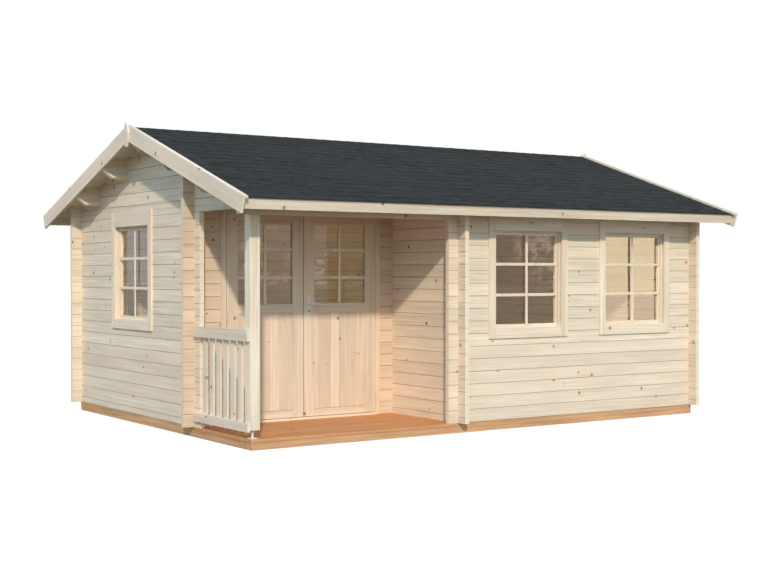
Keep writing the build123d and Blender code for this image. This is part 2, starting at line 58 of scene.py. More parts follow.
class Tree:  # the nodes of a material or a world, with short ways to add more
    def __init__(self, name, world=None):
        self.material = world or bpy.data.materials.new(name)
        self.material.use_nodes = True
        self.nodes = self.material.node_tree.nodes
        self.links = self.material.node_tree.links
        self.shader = self.nodes.get("Principled BSDF")
        coordinates = self.nodes.new("ShaderNodeTexCoord").outputs
        self.place = coordinates["Object"]
        self.normal = coordinates["Normal"]
        self.direction = coordinates["Generated"]  # only the world uses this one

    def add(self, kind, inputs=None, **options):
        node = self.nodes.new(kind)
        for option, value in options.items():
            setattr(node, option, value)
        for socket, value in (inputs or {}).items():
            self.feed(node.inputs[socket], value)
        return node

    def feed(self, socket, value):
        if isinstance(value, bpy.types.NodeSocket):
            self.links.new(value, socket)
        else:
            socket.default_value = value

    def math(self, operation, *values):
        return self.add("ShaderNodeMath", dict(enumerate(values)), operation=operation).outputs[0]

    def range(self, value, low, high, toLow=0.0, toHigh=1.0, kind="LINEAR"):
        inputs = {"Value": value, "From Min": low, "From Max": high, "To Min": toLow, "To Max": toHigh}
        return self.add("ShaderNodeMapRange", inputs, interpolation_type=kind).outputs[0]

    def split(self, vector):
        return list(self.add("ShaderNodeSeparateXYZ", {0: vector}).outputs)[:3]

    def join(self, x, y, z):
        return self.add("ShaderNodeCombineXYZ", {0: x, 1: y, 2: z}).outputs[0]

    def stretch(self, parts, pulls):
        return self.join(*(self.math("MULTIPLY", part, pull) for part, pull in zip(parts, pulls)))

    def mix(self, factor, first, second, blend="MIX"):
        node = self.add("ShaderNodeMix", data_type="RGBA", blend_type=blend)
        for socket, value in ((0, factor), (6, first), (7, second)):
            self.feed(node.inputs[socket], value)
        return node.outputs[2]

    def noise(self, vector, scale, detail=3.0, roughness=0.5, distortion=0.0):
        inputs = {"Vector": vector, "Scale": scale, "Detail": detail, "Roughness": roughness}
        return self.add("ShaderNodeTexNoise", {**inputs, "Distortion": distortion}).outputs[0]

    def inside(self, parts, boxes):  # 1 inside any of the boxes
        result = None
        for low, high in boxes:
            here = None
            for part, start, end in zip(parts, low, high):
                if end - start < far:
                    near = self.math("COMPARE", part, (start + end) / 2, (end - start) / 2)
                    here = near if here is None else self.math("MULTIPLY", here, near)
            result = here if result is None else self.math("MAXIMUM", result, here)
        return result

    def set(self, **sockets):
        for name, value in sockets.items():
            self.feed(self.shader.inputs[name.replace("_", " ")], value)

    def bump(self, height, strength, distance):
        node = self.add("ShaderNodeBump", {"Height": height, "Strength": strength, "Distance": distance})
        self.links.new(node.outputs[0], self.shader.inputs["Normal"])

    def show(self, factor, first, second):  # the surface changes from the first shader to the second
        mixer = self.add("ShaderNodeMixShader", {0: factor, 1: first.outputs[0], 2: second.outputs[0]})
        self.links.new(mixer.outputs[0], self.nodes["Material Output"].inputs[0])


def rgb(red, green, blue):
    return (red, green, blue, 1.0)


def dress(material, *names):
    for name in names:
        materials = nodes[name].data.materials
        materials.clear()
        materials.append(material)


def parted(low, high):  # a box from two corners, and its middle
    return low, high, (low + high) / 2


far = 50.0  # metres, beyond the part on any axis
roofFall = math.atan(1 / 3)

spruce = {
    "pale": rgb(0.88, 0.79, 0.63), "dark": rgb(0.68, 0.52, 0.35), "blush": rgb(0.86, 0.68, 0.53),
    "knot": rgb(0.14, 0.075, 0.035), "end": rgb(0.80, 0.68, 0.50), "seam": rgb(0.30, 0.20, 0.11),
    "knotShare": 0.36, "roughness": (0.55, 0.7),
}
smooth = {**spruce, "knotShare": 0.1}  # nearly free of knots
# a darker, more orange copy of the spruce for the porch recess: painted shade standing in for the sky light
# that the porch roof keeps off
shadedSpruce = {
    **spruce, "pale": rgb(0.77, 0.64, 0.48), "dark": rgb(0.64, 0.47, 0.32), "blush": rgb(0.74, 0.55, 0.40),
}
# the door pine keeps the painted-shade blush of that copy, with its own pale and dark tones
doorPine = {**shadedSpruce, "pale": rgb(0.82, 0.72, 0.56), "dark": rgb(0.66, 0.49, 0.35)}
decking = {
    "pale": rgb(0.74, 0.38, 0.17), "dark": rgb(0.46, 0.19, 0.065), "blush": rgb(0.76, 0.31, 0.13),
    "knot": rgb(0.15, 0.055, 0.02), "end": rgb(0.50, 0.27, 0.12), "seam": rgb(0.20, 0.07, 0.02),
    "knotShare": 0.4, "roughness": (0.6, 0.8),
}
treated = {
    **decking, "pale": rgb(0.78, 0.45, 0.24), "dark": rgb(0.38, 0.22, 0.09), "blush": rgb(0.76, 0.36, 0.20),
}
figure = {  # the pulls squeeze a pattern across the board
    "grainPull": 24.0, "grainScale": 2.2, "fibrePull": 90.0, "fibreScale": 5.0,
    "cloudPull": 5.0, "cloudScale": 1.3, "ringPull": 80.0, "ringDepth": 30.0, "ringLength": 0.8,
    "ringBend": 2.2, "contrast": (0.3, 0.62), "boardLight": (0.93, 1.04), "cloudLight": (0.93, 1.06),
    "blush": 0.6, "bump": 0.0005, "endScale": 45.0, "endShare": 0.8, "jump": 37.0, "knotJump": 63.0,
}
knot = {
    "cells": 4.2, "size": (0.022, 0.074), "ragged": 0.012, "edge": 0.018, "halo": 2.6, "haloEdge": 0.12,
    "haloShare": 0.45, "coreShare": (0.6, 0.95),
}
seamLook = {"edge": (0.4, 1.7), "strength": (0.45, 0.9), "onEnds": 0.55, "markShare": 0.6}


def followRoof(tree, parts):  # turns y down the roof and z square to it, on either slope
    side = tree.math("ABSOLUTE", parts[1])
    down = [tree.math("MULTIPLY", side, pull) for pull in (math.cos(roofFall), math.sin(roofFall))]
    up = [tree.math("MULTIPLY", parts[2], pull) for pull in (math.sin(roofFall), math.cos(roofFall))]
    return [parts[0], tree.math("SUBTRACT", down[0], up[0]), tree.math("ADD", down[1], up[1])]


def knotMasks(tree, place, fibres, share):  # the dark core of each knot, and the halo around it
    inputs = {"Vector": place, "Scale": knot["cells"], "Randomness": 1.0}
    cells = tree.add("ShaderNodeTexVoronoi", inputs, voronoi_dimensions="2D", feature="F1").outputs
    inputs = {"Vector": cells["Position"]}
    luck = tree.add("ShaderNodeTexWhiteNoise", inputs, noise_dimensions="2D").outputs[0]
    shown = tree.math("GREATER_THAN", luck, 1.0 - share)
    size = tree.math("MULTIPLY", shown, tree.range(luck, 1.0 - share, 1.0, *knot["size"]))
    away = tree.math("ADD", cells["Distance"], tree.range(fibres, 0.0, 1.0, -knot["ragged"], knot["ragged"]))
    core = tree.range(tree.math("SUBTRACT", size, away), 0.0, knot["edge"], kind="SMOOTHSTEP")
    wide = tree.math("SUBTRACT", tree.math("MULTIPLY", size, knot["halo"]), away)
    return core, tree.range(wide, 0.0, knot["haloEdge"], kind="SMOOTHSTEP")


def drawnOut(tree, own, kind, *settings):  # a pattern drawn out along the board
    pull = figure[kind + "Pull"]
    return tree.noise(tree.stretch(own, (1.0, pull, pull)), figure[kind + "Scale"], *settings)


def growthStreaks(tree, own, halo):
    start, width, depth = own
    grain = drawnOut(tree, own, "grain", 5.0, 0.6, 0.3)
    bent = tree.math("ADD", tree.math("MULTIPLY", width, figure["ringPull"]),
                     tree.math("MULTIPLY", halo, figure["ringBend"]))
    rings = tree.join(tree.math("MULTIPLY", start, figure["ringLength"]), bent,
                      tree.math("MULTIPLY", depth, figure["ringDepth"]))
    rings = tree.noise(rings, 1.0, 3.0, 0.55, 0.4)
    both = tree.math("ADD", tree.math("MULTIPLY", grain, 0.5), tree.math("MULTIPLY", rings, 0.5))
    return tree.range(both, *figure["contrast"])


def seamLine(tree, boards, board, seam, clouds, endOn, topOn):  # the shadow line between two boards
    part = tree.math("FRACT", boards)
    gap = tree.math("MULTIPLY", tree.math("MINIMUM", part, tree.math("SUBTRACT", 1.0, part)), board)
    near, away = seamLook["edge"]
    line = tree.range(gap, seam * near, seam * away, 1.0, 0.0, "SMOOTHSTEP")
    line = tree.math("MULTIPLY", line, tree.range(clouds, 0.3, 0.7, *seamLook["strength"]))
    line = tree.math("MULTIPLY", line, tree.range(endOn, 0.5, 0.9, 1.0, seamLook["onEnds"]))
    return tree.math("MULTIPLY", line, tree.math("LESS_THAN", topOn, 0.9))


# along and across name the axes of a board's length and width, board is its width, and seam is the half
# width of the line between two. In the crosswise boxes the boards run the other way, and each of the marks
# is a box with a fine joint in it.
def woodMaterial(name, tones, along, across, board, phase=0.0, seam=0.0, crosswise=(), marks=(), slope=False):
    tree = Tree(name)
    parts, facing = tree.split(tree.place), tree.split(tree.normal)
    if slope:
        parts, facing = followRoof(tree, parts), followRoof(tree, facing)
    third = next(axis for axis in "xyz" if axis not in (along, across))
    length, width, depth = (parts["xyz".index(axis)] for axis in (along, across, third))
    endOn = tree.math("ABSOLUTE", facing["xyz".index(along)])
    topOn = tree.math("ABSOLUTE", facing["xyz".index(across)])
    if crosswise:
        turned = tree.inside(parts, crosswise)
        straight = tree.math("SUBTRACT", 1.0, turned)
        pairs = ((length, width), (width, length), (endOn, topOn))
        length, width, endOn = [tree.math("ADD", tree.math("MULTIPLY", straight, own),
                                          tree.math("MULTIPLY", turned, other)) for own, other in pairs]
    boards = tree.math("DIVIDE", tree.math("SUBTRACT", width, phase), board)
    seed = float(sum(name.encode()) % 97)
    number = tree.math("ADD", tree.math("FLOOR", boards), seed)
    chance = tree.add("ShaderNodeTexWhiteNoise", {"W": number}, noise_dimensions="1D").outputs
    tone, hue, shade = tree.split(chance["Color"])
    start = tree.math("ADD", length, tree.math("MULTIPLY", chance["Value"], figure["jump"]))
    own = (start, width, depth)  # each board takes another stretch of the pattern
    fibres = drawnOut(tree, own, "fibre", 2.0)
    clouds = drawnOut(tree, own, "cloud", 2.0)
    knotPlace = tree.join(tree.math("ADD", length, tree.math("MULTIPLY", chance["Value"], figure["knotJump"])),
                          tree.math("ADD", width, depth), seed)
    core, halo = knotMasks(tree, knotPlace, fibres, tones["knotShare"])
    streaks = growthStreaks(tree, own, halo)
    colour = tree.mix(streaks, tones["dark"], tones["pale"])
    colour = tree.mix(tree.range(hue, 0.2, 1.0, 0.0, figure["blush"]), colour, tones["blush"])
    light = tree.math("MULTIPLY", tree.range(tone, 0.0, 1.0, *figure["boardLight"]),
                      tree.range(clouds, 0.3, 0.7, *figure["cloudLight"]))
    colour = tree.mix(1.0, colour, tree.join(light, light, light), "MULTIPLY")
    colour = tree.mix(tree.math("MULTIPLY", halo, knot["haloShare"]), colour, tones["dark"])
    core = tree.math("MULTIPLY", core, tree.range(shade, 0.0, 1.0, *knot["coreShare"]))
    colour = tree.mix(core, colour, tones["knot"])
    endFace = tree.math("MULTIPLY", tree.math("GREATER_THAN", endOn, 0.8), figure["endShare"])
    endGrain = tree.range(tree.noise(tree.place, figure["endScale"], 2.0), 0.4, 0.6)
    colour = tree.mix(endFace, colour, tree.mix(endGrain, tones["end"], tones["pale"]))
    if seam:
        line = seamLine(tree, boards, board, seam, clouds, endOn, topOn)
        colour = tree.mix(line, colour, tones["seam"])
    if marks:
        here = tree.math("MULTIPLY", tree.inside(parts, marks), seamLook["markShare"])
        colour = tree.mix(here, colour, tones["seam"])
    tree.set(Base_Color=colour, Roughness=tree.range(streaks, 0.0, 1.0, *tones["roughness"]))
    tree.set(Specular_IOR_Level=0.3)
    tree.bump(streaks, 0.2, figure["bump"])
    return tree.material


logs = {"course": 0.114, "seam": 0.0024}
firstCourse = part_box("front_wall")[0].z
halfCourse = logs["course"] / 2  # the logs along y lie half a course higher
fasciaWidth = 0.4  # wider than any single board, which then has no seam

logsX = woodMaterial("logsAlongX", spruce, "x", "z", logs["course"], firstCourse, logs["seam"])
logsY = woodMaterial("logsAlongY", spruce, "y", "z", logs["course"], firstCourse + halfCourse, logs["seam"])
# the recess walls take the darker copy: painted shade
shadedRecessLogs = woodMaterial("shelteredLogs", shadedSpruce, "x", "z", logs["course"], firstCourse, logs["seam"])
dress(logsX, "front_wall", "back_wall")
dress(logsY, "right_gable_wall", "left_gable_wall", "left_gable_top", "porch_side_wall")
dress(shadedRecessLogs, "recess_wall_left", "recess_wall_right", "recess_wall_over_door")
dress(woodMaterial("plateLog", spruce, "x", "z", fasciaWidth, firstCourse), "front_wall_plate")
dress(woodMaterial("postWood", spruce, "z", "x", 0.2), "corner_post")
dress(woodMaterial("purlinWood", spruce, "x", "y", 0.3), "ridge_purlin", "side_purlins")
dress(woodMaterial("fasciaWood", spruce, "x", "z", fasciaWidth), "fascia_front", "fascia_back")
dress(woodMaterial("bargeWood", smooth, "y", "z", fasciaWidth, slope=True),
      "barge_boards_left", "barge_boards_right", "verge_battens_left", "verge_battens_right")
dress(woodMaterial("finialWood", spruce, "z", "y", 1.0), "finials")
dress(woodMaterial("floorWood", spruce, "x", "y", 0.12, seam=0.002), "floor", "threshold")

deck = {"boards": 9, "gap": 0.006, "seam": 0.004}
deckLow, deckHigh, deckMiddle = parted(*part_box("porch_deck"))
deckPitch = (deckHigh.y - deckLow.y + deck["gap"]) / deck["boards"]
deckStart = deckLow.y - deck["gap"] / 2
dress(woodMaterial("deckWood", decking, "x", "y", deckPitch, deckStart, deck["seam"]), "porch_deck")
dress(woodMaterial("beamWood", treated, "x", "z", 2.0), "foundation_frame")
dress(woodMaterial("joistWood", treated, "y", "z", 2.0), "floor_joists")

rail = {"low": 0.074, "top": 0.09, "thickness": 0.028, "boardPitch": 0.0995, "firstBoard": -1.79}
railLow, railHigh, railMiddle = parted(*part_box("railing"))
railHeights = ((railLow.z, railLow.z + rail["low"]), (railHigh.z - rail["top"], railHigh.z))
railBoxes = [((-far, -far, bottom), (railLow.x + rail["thickness"], far, top)) for bottom, top in railHeights]
railWood = woodMaterial("railingWood", spruce, "z", "y", rail["boardPitch"], rail["firstBoard"],
                        crosswise=railBoxes)
dress(railWood, "railing")

door = {"stile": 0.112, "foot": 0.067, "glass": 0.738, "middle": 0.086, "head": 0.102, "board": 0.093,
        "joint": (-0.003, 0.0025)}
leaves = {}
doorRails, doorJoints = [], []
for side in ("left", "right"):
    low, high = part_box("door_leaf_" + side)
    start, end = low.x + door["stile"], high.x - door["stile"]
    panelFoot = low.z + door["foot"]
    glassHigh = high.z - door["head"]
    glassLow = glassHigh - door["glass"]
    leaves[side] = (start, end, glassLow, glassHigh)
    for bottom, top in ((0.0, panelFoot), (glassLow - door["middle"], glassLow), (glassHigh, high.z)):
        doorRails.append(((start, -far, bottom), (end, far, top)))
    below, above = door["joint"]
    doorJoints.append(((start, -far, panelFoot + below), (end, far, panelFoot + above)))
doorRails.insert(0, ((-far, -far, high.z), (far, far, far)))  # the head of the frame
doorMaterial = woodMaterial("doorWood", doorPine, "z", "x", door["board"], leaves["right"][1],
                            crosswise=doorRails, marks=doorJoints)
dress(doorMaterial, "door_leaf_left", "door_leaf_right", "door_frame")

casing = {"side": 0.075, "bottom": 0.093, "head": 0.146, "joint": 0.001, "below": 0.02, "above": 0.01}
sash = {"rail": 0.04, "foot": 0.033, "head": 0.04}


class WindowPlace:  # where one window is: axis is 1 in the front wall and 0 in the gable
    def __init__(self, place):
        low, high, middle = parted(*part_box("window_casing_" + place))
        self.place = place
        self.axis = 0 if place == "gable" else 1
        self.along = 1 - self.axis
        self.middle = middle[self.along]
        self.half = (high[self.along] - low[self.along]) / 2 - casing["side"]
        self.low, self.high = low.z, high.z
        self.sill, self.top = low.z + casing["bottom"], high.z - casing["head"]

    def box(self, alongPair, depthPair, heightPair):  # corners from three pairs
        corners = []
        for end in (0, 1):
            corner = [0.0, 0.0, heightPair[end]]
            corner[self.along], corner[self.axis] = alongPair[end], depthPair[end]
            corners.append(corner)
        return corners


windows = [WindowPlace(place) for place in ("front_left", "front_right", "gable")]


def casingBoxes(window):  # the boards that lie flat, and the joints at the ends of the bottom board
    sides = (window.middle - window.half, window.middle + window.half)
    heights = ((window.low - casing["below"], window.sill + sash["foot"]),
               (window.top - sash["head"], window.high + casing["above"]))
    flat = [window.box(sides, (-far, far), pair) for pair in heights]
    joints = [window.box((edge - casing["joint"], edge + casing["joint"]), (-far, far),
                         (window.low, window.sill)) for edge in sides]
    return flat, joints


for name, across, group in (("casingWood", "x", windows[:2]), ("gableCasingWood", "y", windows[2:])):
    flat, joints = zip(*(casingBoxes(window) for window in group))
    material = woodMaterial(name, spruce, "z", across, 0.2, crosswise=sum(flat, []), marks=sum(joints, []))
    for window in group:
        dress(material, "window_casing_" + window.place, "window_sash_" + window.place)
print("wood done")


shingleTones = {
    "darkest": rgb(0.009, 0.011, 0.012), "dark": rgb(0.016, 0.019, 0.020), "pale": rgb(0.058, 0.066, 0.068),
    "pits": rgb(0.008, 0.010, 0.012), "green": rgb(0.026, 0.037, 0.036),
}
underlayTones = {"dark": rgb(0.016, 0.019, 0.021), "pale": rgb(0.05, 0.055, 0.06)}
gritRoughness = (0.85, 1.0)


def shingleMaterial():
    tree = Tree("shingleFelt")
    tones = shingleTones
    tone = tree.add("ShaderNodeAttribute", attribute_name="tone", attribute_type="GEOMETRY").outputs["Fac"]
    parts = tree.split(tree.place)
    grit = tree.noise(tree.place, 420.0, 2.0, 0.7)
    streaks = tree.noise(tree.stretch(parts, (7.0, 45.0, 45.0)), 1.0, 4.0, 0.75)
    patches = tree.noise(tree.stretch(parts, (1.0, 3.0, 3.0)), 0.9, 2.0)
    colour = tree.mix(tree.range(tone, 0.0, 1.0, 0.0, 0.7), tones["darkest"], tones["dark"])
    colour = tree.mix(tree.range(streaks, 0.42, 0.64, 0.0, 0.9), colour, tones["pale"])
    colour = tree.mix(tree.range(grit, 0.35, 0.65, 0.6, 0.0), colour, tones["pits"])
    colour = tree.mix(tree.range(patches, 0.42, 0.7, 0.0, 0.5), colour, tones["green"])
    tree.set(Base_Color=colour, Roughness=tree.range(grit, 0.3, 0.7, *gritRoughness), Specular_IOR_Level=0.25)
    tree.bump(grit, 0.6, 0.001)
    return tree.material


def underlayMaterial():
    tree = Tree("underlayFelt")
    grit = tree.noise(tree.place, 600.0, 2.0, 0.6)
    colour = tree.mix(tree.range(grit, 0.35, 0.65), underlayTones["dark"], underlayTones["pale"])
    tree.set(Base_Color=colour, Roughness=tree.range(grit, 0.3, 0.7, *gritRoughness))
    tree.bump(grit, 0.5, 0.001)
    return tree.material


glass = {"clear": rgb(0.92, 0.93, 0.92), "hazy": rgb(0.88, 0.89, 0.88), "ior": 1.52}


def glassMaterial():  # a lamp's rays pass straight through, so that the sun falls into the room
    tree = Tree("windowGlass")
    tint = tree.mix(tree.noise(tree.place, 3.0, 2.0), glass["hazy"], glass["clear"])
    tree.set(Base_Color=tint, Roughness=0.0, Transmission_Weight=1.0, IOR=glass["ior"])
    sunRay = tree.nodes.new("ShaderNodeLightPath").outputs["Is Shadow Ray"]
    tree.show(sunRay, tree.shader, tree.add("ShaderNodeBsdfTransparent", {0: glass["hazy"]}))
    return tree.material


def metalMaterial(name, colour, roughness, pulls, metallic):
    tree = Tree(name)
    brushed = tree.noise(tree.stretch(tree.split(tree.place), pulls), 1.0, 3.0, 0.6)
    dull = rgb(*(0.85 * part for part in colour[:3]))
    tree.set(Base_Color=tree.mix(tree.range(brushed, 0.3, 0.7), colour, dull),
             Roughness=tree.range(brushed, 0.3, 0.7, *roughness), Metallic=metallic)
    tree.bump(brushed, 0.1, 0.0002)
    return tree.material


galvanised = metalMaterial("galvanised", rgb(0.88, 0.88, 0.87), (0.5, 0.7), (60.0, 60.0, 60.0), 0.35)
yellowZinc = metalMaterial("yellowZinc", rgb(0.80, 0.66, 0.46), (0.45, 0.6), (60.0, 60.0, 60.0), 0.5)
satinSteel = metalMaterial("satinSteel", rgb(0.90, 0.90, 0.88), (0.4, 0.55), (900.0, 900.0, 40.0), 0.35)
darkSteel = metalMaterial("darkSteel", rgb(0.16, 0.15, 0.14), (0.4, 0.55), (200.0, 200.0, 200.0), 1.0)
shingleFelt = shingleMaterial()
dress(underlayMaterial(), "roof_cover_front", "roof_cover_back")
dress(glassMaterial(), "window_panes", "door_pane_left", "door_pane_right")
dress(galvanised, "post_foot")
dress(yellowZinc, "door_hinges_left", "door_hinges_right", "frame_hinges")
dress(satinSteel, "handle_plates", "door_lever")
print("roof, glass and metal done")


def addBlock(form, low, high, bevel=0.0):
    low, high, middle = parted(Vector(low), Vector(high))
    place = Matrix.Translation(middle) @ Matrix.Diagonal(high - low).to_4x4()
    corners = bmesh.ops.create_cube(form, size=1.0, matrix=place)["verts"]
    if bevel:
        edges = list(dict.fromkeys(edge for corner in corners for edge in corner.link_edges))
        bmesh.ops.bevel(form, geom=edges, offset=bevel, affect="EDGES", segments=1, profile=0.5, material=-1)
    return corners


def addRound(form, middle, radius, height, axis, segments):  # a round bar along one axis
    turn = Vector((0.0, 0.0, 1.0)).rotation_difference(Vector(axis)).to_matrix().to_4x4()
    place = Matrix.Translation(middle) @ turn
    bmesh.ops.create_cone(form, cap_ends=True, segments=segments, radius1=radius, radius2=radius,
                          depth=height, matrix=place)


def addObject(name, form, material):
    mesh = bpy.data.meshes.new(name)
    form.to_mesh(mesh)
    form.free()
    mesh.materials.append(material)
    thing = bpy.data.objects.new(name, mesh)
    scene.collection.objects.link(thing)
    return thing


def finishPiece(name, form, material, body):
    piece = addObject(name, form, material)
    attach(piece, body)
    return piece


lattice = {"width": 0.027, "bevel": 0.002, "rows": 3, "overRail": 0.012, "behindFrame": 0.004,
           "onRail": 0.0118, "doorDepth": 0.010, "offPane": 0.0003}


# place holds the ends of the bars along the wall, through it and in height, and then the axis along it
def glazingBars(name, material, body, place, glassLow, glassHigh):
    form = bmesh.new()
    (start, end), (near, deep), (bottom, top), along = place
    half = lattice["width"] / 2
    middle = (start + end) / 2
    rowHeight = (glassHigh - glassLow - (lattice["rows"] - 1) * lattice["width"]) / lattice["rows"]
    bars = [((middle - half, middle + half), (bottom, top))]
    for count in range(lattice["rows"] - 1):
        row = glassLow + rowHeight + half + count * (rowHeight + lattice["width"])
        bars += [(span, (row - half, row + half)) for span in ((start, middle - half), (middle + half, end))]
    for (left, right), (low, high) in bars:
        corners = [[left, near, low], [right, deep, high]]
        if along == 1:
            corners = [[near, left, low], [deep, right, high]]
        addBlock(form, *corners, lattice["bevel"])
    return finishPiece(name, form, material, body)


barWood = woodMaterial("barWood", spruce, "z", "x", 0.3)
gableBarWood = woodMaterial("gableBarWood", spruce, "z", "y", 0.3)
for window in windows:
    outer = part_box("window_sash_" + window.place)[0][window.axis]
    reach = window.half - sash["rail"] + lattice["overRail"]
    glassLow, glassHigh = window.sill + sash["foot"], window.top - sash["head"]
    place = ((window.middle - reach, window.middle + reach),
             (outer + lattice["behindFrame"], outer + lattice["onRail"]),
             (glassLow - lattice["overRail"], glassHigh + lattice["overRail"]), window.along)
    material = gableBarWood if window.place == "gable" else barWood
    glazingBars("glazing_bars_" + window.place, material, "cabin", place, glassLow, glassHigh)
for side, (start, end, glassLow, glassHigh) in leaves.items():
    low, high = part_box("door_pane_" + side)
    outer = (low.y - lattice["doorDepth"], low.y - lattice["offPane"])
    inner = (high.y + lattice["offPane"], high.y + lattice["doorDepth"])
    for face, depths in (("out", outer), ("in", inner)):
        place = ((start, end), depths, (glassLow, glassHigh), 0)
        name = "glazing_bars_door_" + side + "_" + face
        glazingBars(name, barWood, side + "_leaf", place, glassLow, glassHigh)
print("glazing bars done")


catch = {"aboveSill": 0.442, "fromLight": 0.012, "lever": 0.1, "past": 0.008, "thick": 0.011, "reach": 0.03,
         "plate": (0.009, 0.006, 0.032), "neck": 0.006, "leverHalf": 0.008, "bevel": 0.002}


def windowCatches():  # a small lever handle on the room side of each sash
    form = bmesh.new()
    plateHalf, plateDepth, plateHeight = catch["plate"]
    neck, leverHalf = catch["neck"], catch["leverHalf"]
    for window in windows:
        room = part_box("window_sash_" + window.place)[1][window.axis]
        height = window.sill + catch["aboveSill"]
        along = window.middle + window.half - sash["rail"] + catch["fromLight"]
        shapes = [((-plateHalf, plateHalf), (0.0, plateDepth), (-plateHeight, plateHeight)),
                  ((-neck, neck), (plateDepth, catch["reach"]), (-neck, neck)),
                  ((-catch["lever"], catch["past"]), (catch["reach"], catch["reach"] + catch["thick"]),
                   (-leverHalf, leverHalf))]
        for sides, depths, heights in shapes:
            corners = window.box([along + side for side in sides], [room + depth for depth in depths],
                                 [height + step for step in heights])
            addBlock(form, *corners, catch["bevel"])
    return form


lock = {"abovePlateFoot": 0.077, "radius": 0.0085, "proud": 0.003, "slotProud": 0.0034,
        "slotHalf": (0.001, 0.005)}


def lockCylinder():  # the round key plate under the lever, on both faces of the door
    form = bmesh.new()
    low, high, centre = parted(*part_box("handle_plates"))
    height = low.z + lock["abovePlateFoot"]
    halfWidth, halfHeight = lock["slotHalf"]
    for edge, away in ((low.y, -1.0), (high.y, 1.0)):
        middle = (centre.x, edge + away * lock["proud"] / 2, height)
        addRound(form, middle, lock["radius"], lock["proud"], (0.0, 1.0, 0.0), 24)
        depths = sorted((edge, edge + away * lock["slotProud"]))
        addBlock(form, (centre.x - halfWidth, depths[0], height - halfHeight),
                 (centre.x + halfWidth, depths[1], height + halfHeight))
    return form


screw = {"radius": 0.005, "proud": 0.0008, "sunk": 0.0002, "fromEdge": 0.02, "fromFront": (0.022, 0.066),
         "fromBack": 0.03}


def railScrews():  # into the post and into the wall, at the ends of both rails
    form = bmesh.new()
    outer = railLow.x - screw["proud"] / 2 + screw["sunk"]
    places = [railLow.y + away for away in screw["fromFront"]] + [railHigh.y - screw["fromBack"]]
    for bottom, top in railHeights:
        for height in (bottom + screw["fromEdge"], top - screw["fromEdge"]):
            for place in places:
                addRound(form, (outer, place, height), screw["radius"], screw["proud"], (1.0, 0.0, 0.0), 12)
    return form


finishPiece("window_catches", windowCatches(), darkSteel, "cabin")
finishPiece("lock_cylinder", lockCylinder(), darkSteel, "right_leaf")
finishPiece("rail_screws", railScrews(), galvanised, "cabin")
print("fittings done")


shingle = {"width": 0.333, "exposure": 0.142, "overlap": 0.012, "slot": 0.003, "butt": 0.003, "head": 0.001,
           "sunk": 0.001, "uneven": 0.002, "least": 0.02, "seed": 5}
cap = {"wing": 0.13, "exposure": 0.145, "overlap": 0.02, "butt": 0.005, "head": 0.0025, "under": 0.001,
       "lap": 0.002}
shingleEdge = -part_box("verge_battens_left")[1].x - 0.0002
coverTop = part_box("roof_cover_front")[1].z
slopeLength = -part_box("roof_cover_front")[0].y / math.cos(roofFall)


def slopePlace(front):  # y runs down the slope and z out of it, from the top of the cover at the ridge
    turn = Matrix.Rotation(-roofFall, 4, "X")
    if front:
        turn = Matrix.Rotation(math.pi, 4, "Z") @ turn
    return Matrix.Translation((0.0, 0.0, coverTop)) @ turn


def giveTone(corners, layer, value):
    for face in dict.fromkeys(face for corner in corners for face in corner.link_faces):
        face[layer] = value


def shingles(front):
    dice = random.Random(shingle["seed"] + front)
    form = bmesh.new()
    layer = form.faces.layers.float.new("tone")
    for row in range(math.ceil(slopeLength / shingle["exposure"])):
        bottom = slopeLength - row * shingle["exposure"]
        top = max(bottom - shingle["exposure"] - shingle["overlap"], 0.0)
        start = -shingleEdge - dice.random() * shingle["width"]
        while start < shingleEdge:
            left = max(start, -shingleEdge)
            right = min(start + shingle["width"] - shingle["slot"], shingleEdge)
            start += shingle["width"]
            if right - left < shingle["least"]:
                continue
            drop = dice.uniform(-shingle["uneven"], 0.0) if row else 0.0
            corners = addBlock(form, (left, top, -shingle["sunk"]), (right, bottom + drop, shingle["head"]))
            for corner in corners:
                if corner.co.z > 0 and corner.co.y > (top + bottom) / 2:
                    corner.co.z = shingle["butt"]
            giveTone(corners, layer, dice.random())
    bmesh.ops.transform(form, matrix=slopePlace(front), verts=form.verts)
    return form


def ridgeCap():
    form = bmesh.new()
    layer = form.faces.layers.float.new("tone")
    dice = random.Random(shingle["seed"])
    for front in (True, False):
        wings = []
        start = -shingleEdge
        while start < shingleEdge:
            end = min(start + cap["exposure"] + cap["overlap"], shingleEdge)
            corners = addBlock(form, (start, -cap["lap"], cap["under"]), (end, cap["wing"], cap["head"]))
            for corner in corners:
                if corner.co.z > (cap["under"] + cap["head"]) / 2 and corner.co.x < (start + end) / 2:
                    corner.co.z = cap["butt"]
                if front:
                    corner.co.x = -corner.co.x
            giveTone(corners, layer, dice.random())
            wings += corners
            start += cap["exposure"]
        bmesh.ops.transform(form, matrix=slopePlace(front), verts=wings)
    bmesh.ops.recalc_face_normals(form, faces=form.faces)
    return form


for side in ("front", "back"):
    finishPiece("shingles_" + side, shingles(side == "front"), shingleFelt, "cabin")
finishPiece("ridge_cap", ridgeCap(), shingleFelt, "cabin")
print("shingles done")


plank = {"width": 0.088, "thickness": 0.018, "bevel": 0.003, "mitre": 0.0005, "firstSeam": 2.1}


